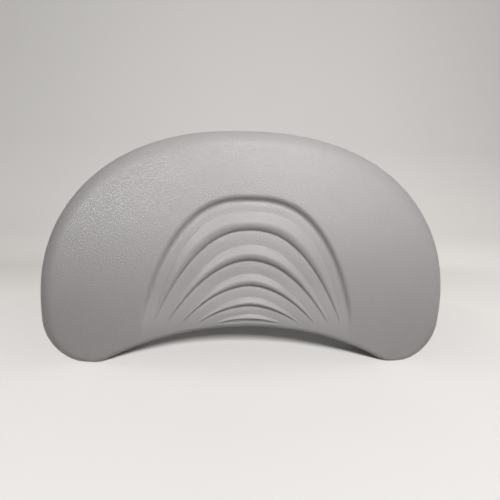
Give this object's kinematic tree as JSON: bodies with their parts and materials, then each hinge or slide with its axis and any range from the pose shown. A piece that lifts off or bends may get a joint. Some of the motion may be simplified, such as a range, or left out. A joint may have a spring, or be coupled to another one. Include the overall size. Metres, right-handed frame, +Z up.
{
  "type": "bath pillow",
  "caption": "Kidney-shaped moulded foam headrest with a crowned grained face, a fan of crescent ridges and suction cups that slide in keyhole sockets on its back.",
  "frame": {"origin": "on the surface that the pillow stands on, under the middle of its bounding box, cups included", "axes": "+Z up, +X to the right of someone who looks at the face, -Y out of the face, +Y from the back towards the wall"},
  "size_m": [0.3, 0.0626, 0.17],
  "materials": {
    "skin": "satin",
    "back": "satin",
    "foam": "matte",
    "plate": "matte",
    "socket": "satin",
    "cup": "gloss",
    "screw": "satin"
  },
  "bodies": {
    "pillow": {"face_skin": "skin", "foam_core": "foam", "insert_plate": "plate", "back_skin": "back", "cup_socket_lower_left": "socket", "cup_socket_lower_right": "socket", "cup_socket_upper_left": "socket", "cup_socket_upper_right": "socket", "socket_screw_lower_left_a": "screw", "socket_screw_lower_left_b": "screw", "socket_screw_lower_right_a": "screw", "socket_screw_lower_right_b": "screw", "socket_screw_upper_left_a": "screw", "socket_screw_upper_left_b": "screw", "socket_screw_upper_right_a": "screw", "socket_screw_upper_right_b": "screw"},
    "lower_left_cup": {"suction_cup_lower_left": "cup"},
    "lower_right_cup": {"suction_cup_lower_right": "cup"},
    "upper_left_cup": {"suction_cup_upper_left": "cup"},
    "upper_right_cup": {"suction_cup_upper_right": "cup"}
  },
  "joints": [
    {"name": "lower_left_cup_slide", "type": "slide", "parent": "pillow", "child": "lower_left_cup", "axis": [0, 0, -1], "range_m": [0, 0.01]},
    {"name": "lower_right_cup_slide", "type": "slide", "parent": "pillow", "child": "lower_right_cup", "axis": [0, 0, -1], "range_m": [0, 0.01]},
    {"name": "upper_left_cup_slide", "type": "slide", "parent": "pillow", "child": "upper_left_cup", "axis": [0, 0, -1], "range_m": [0, 0.01]},
    {"name": "upper_right_cup_slide", "type": "slide", "parent": "pillow", "child": "upper_right_cup", "axis": [0, 0, -1], "range_m": [0, 0.01]}
  ]
}
